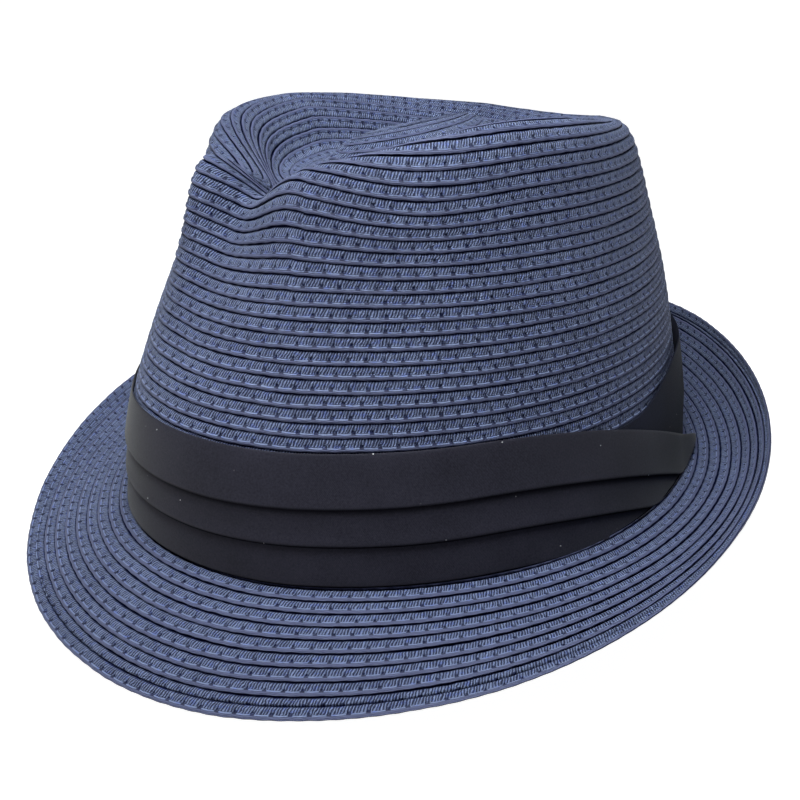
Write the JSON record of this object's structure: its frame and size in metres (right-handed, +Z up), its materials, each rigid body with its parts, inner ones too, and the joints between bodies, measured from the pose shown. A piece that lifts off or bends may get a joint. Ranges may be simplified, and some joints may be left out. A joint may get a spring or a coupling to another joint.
{
  "type": "fedora hat",
  "caption": "Short-brim fedora of spirally sewn paper braid: dented crown with front pinches, brim down in front and up behind, folded cloth hatband, inner sweatband.",
  "frame": {"origin": "middle of the head opening, at the height where the crown meets the brim", "axes": "+Z up out of the crown, -Y out of the front of the hat, +X towards the wearer's left"},
  "size_m": [0.2404, 0.2696, 0.1377],
  "materials": {
    "braid": "sewn rows of navy paper braid with a soft sheen",
    "ribbon": "plain black woven ribbon",
    "band_cloth": "matt black cotton sateen",
    "sweatband_cloth": "dark navy twill",
    "sweatband_tape": "dark navy herringbone tape",
    "thread": "dark navy sewing thread"
  },
  "bodies": {
    "root": {"crown_tip": "braid", "crown_top": "braid", "crown_side": "braid", "brim": "braid", "brim_edge_row": "braid", "band_ribbon": "ribbon", "band_fold_upper": "band_cloth", "band_fold_middle": "band_cloth", "band_fold_lower": "band_cloth", "sweatband": "sweatband_cloth", "sweatband_seam": "sweatband_tape", "sweatband_stitches": "thread"}
  },
  "joints": []
}
